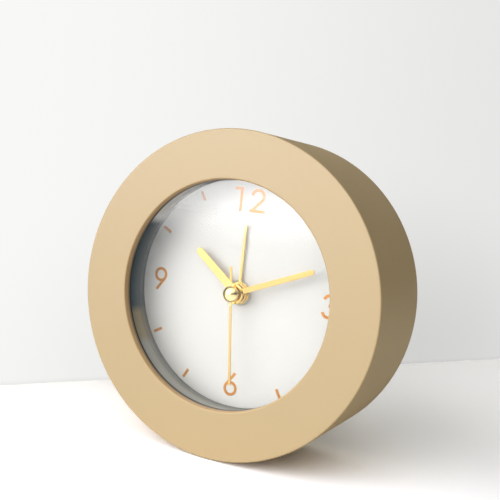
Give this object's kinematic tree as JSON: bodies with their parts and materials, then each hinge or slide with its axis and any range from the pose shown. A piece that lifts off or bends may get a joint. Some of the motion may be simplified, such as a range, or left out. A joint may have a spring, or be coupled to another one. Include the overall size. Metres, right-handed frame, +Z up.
{
  "type": "desk alarm clock",
  "caption": "Round drum desk alarm clock with a deep flat window, white dial, gold hands and a quartz movement set by two knobs at the back.",
  "frame": {"origin": "on the table under the middle of the clock, level with the underside of its feet", "axes": "+Z up, the face looks towards -Y, +X is to the right of someone who reads the dial"},
  "size_m": [0.11, 0.0406, 0.1103],
  "materials": {
    "case_paint": "matte sand paint",
    "gasket_rubber": "black matte",
    "lens_clear": "clear polished",
    "ring_plastic": "dark grey satin",
    "dial_white": "matte white",
    "foil_copper": "satin rose gold foil",
    "hand_gold": "satin gold",
    "cap_gold": "polished gold",
    "foot_rubber": "matte",
    "cover_plastic": "fine matte texture",
    "knob_plastic": "satin",
    "movement_plastic": "moulded satin",
    "gear_plastic": "moulded satin",
    "steel": "bright",
    "board": "green resist",
    "black_part": "black moulded",
    "copper_wire": "enamelled copper",
    "magnet": "grey ferrite",
    "spring_bronze": "bronze strip",
    "cell_wrap": "plain green wrap"
  },
  "bodies": {
    "clock_body": {"case_shell": "case_paint", "lens_gasket": "gasket_rubber", "lens": "lens_clear", "spacer_ring": "ring_plastic", "dial": "dial_white", "dial_numerals": "foil_copper", "dial_ticks": "foil_copper", "dial_plate": "movement_plastic", "dial_plate_screws": "steel", "feet": "foot_rubber", "back_cover": "cover_plastic", "back_cover_screws": "steel", "movement_front_plate": "movement_plastic", "movement_mid_plate": "movement_plastic", "mid_plate_screws": "steel", "movement_housing": "movement_plastic", "movement_screws": "steel", "circuit_board": "board", "clock_chip": "black_part", "quartz_crystal": "steel", "buzzer": "black_part", "switch_body": "black_part", "stator": "steel", "coil_bobbin": "movement_plastic", "coil_winding": "copper_wire", "alarm_leaf_spring": "spring_bronze", "battery": "cell_wrap", "battery_plate_contact": "steel", "battery_leaf_contact": "spring_bronze"},
    "time_setting": {"minute_wheel": "gear_plastic", "time_set_knob": "knob_plastic"},
    "minute_hand_body": {"minute_tube": "gear_plastic", "minute_hand": "hand_gold"},
    "hour_hand_body": {"hour_wheel": "gear_plastic", "hour_hand": "hand_gold"},
    "alarm_setting": {"alarm_setting_stem": "gear_plastic", "alarm_set_knob": "knob_plastic"},
    "alarm_hand_body": {"alarm_wheel": "gear_plastic", "alarm_hand": "hand_gold"},
    "second_hand_body": {"second_wheel": "gear_plastic", "second_hand": "hand_gold", "second_hand_cap": "cap_gold"},
    "third_wheel_body": {"third_wheel": "gear_plastic"},
    "centre_wheel_body": {"centre_wheel": "gear_plastic"},
    "intermediate_wheel_body": {"intermediate_wheel": "gear_plastic"},
    "rotor_body": {"rotor_pinion": "gear_plastic", "rotor_magnet": "magnet"},
    "alarm_switch_body": {"alarm_switch_slider": "knob_plastic"},
    "battery_door_body": {"battery_door": "cover_plastic"}
  },
  "joints": [
    {"name": "time_set_knob_turn", "type": "hinge", "parent": "clock_body", "child": "time_setting", "pos_m": [-0.0095, 0, 0.04865], "axis": [0, 1, 0], "continuous": true},
    {"name": "minute_hand_turn", "type": "hinge", "parent": "clock_body", "child": "minute_hand_body", "pos_m": [0, 0, 0.0553], "axis": [0, 1, 0], "continuous": true},
    {"name": "hour_hand_turn", "type": "hinge", "parent": "clock_body", "child": "hour_hand_body", "pos_m": [0, 0, 0.0553], "axis": [0, 1, 0], "continuous": true},
    {"name": "alarm_set_knob_turn", "type": "hinge", "parent": "clock_body", "child": "alarm_setting", "pos_m": [0.00771, 0, 0.04611], "axis": [0, 1, 0], "continuous": true},
    {"name": "alarm_hand_turn", "type": "hinge", "parent": "clock_body", "child": "alarm_hand_body", "pos_m": [0, 0, 0.0553], "axis": [0, 1, 0], "continuous": true},
    {"name": "second_hand_turn", "type": "hinge", "parent": "clock_body", "child": "second_hand_body", "pos_m": [0, 0, 0.0553], "axis": [0, 1, 0], "continuous": true},
    {"name": "third_wheel_turn", "type": "hinge", "parent": "clock_body", "child": "third_wheel_body", "pos_m": [-0.0054, 0, 0.06465], "axis": [0, 1, 0], "continuous": true},
    {"name": "centre_wheel_turn", "type": "hinge", "parent": "clock_body", "child": "centre_wheel_body", "pos_m": [0, 0, 0.0553], "axis": [0, 1, 0], "continuous": true},
    {"name": "intermediate_wheel_turn", "type": "hinge", "parent": "clock_body", "child": "intermediate_wheel_body", "pos_m": [0.00992, 0, 0.05891], "axis": [0, 1, 0], "continuous": true},
    {"name": "rotor_turn", "type": "hinge", "parent": "clock_body", "child": "rotor_body", "pos_m": [0.01782, 0, 0.05604], "axis": [0, 1, 0], "continuous": true},
    {"name": "alarm_switch_slide", "type": "slide", "parent": "clock_body", "child": "alarm_switch_body", "axis": [0, 0, 1], "range_m": [-0.003, 0]},
    {"name": "battery_door_hinge", "type": "hinge", "parent": "clock_body", "child": "battery_door_body", "pos_m": [0, 0.01525, 0.0192], "axis": [-1, 0, 0], "range_deg": [0, 80]}
  ],
  "couplings": [
    {"joint": "minute_hand_turn", "follows": "time_set_knob_turn", "ratio": -3},
    {"joint": "hour_hand_turn", "follows": "time_set_knob_turn", "ratio": -0.25},
    {"joint": "alarm_hand_turn", "follows": "alarm_set_knob_turn", "ratio": -0.33333},
    {"joint": "third_wheel_turn", "follows": "second_hand_turn", "ratio": -0.125},
    {"joint": "centre_wheel_turn", "follows": "second_hand_turn", "ratio": 0.016667},
    {"joint": "intermediate_wheel_turn", "follows": "second_hand_turn", "ratio": -5},
    {"joint": "rotor_turn", "follows": "second_hand_turn", "ratio": 30}
  ]
}
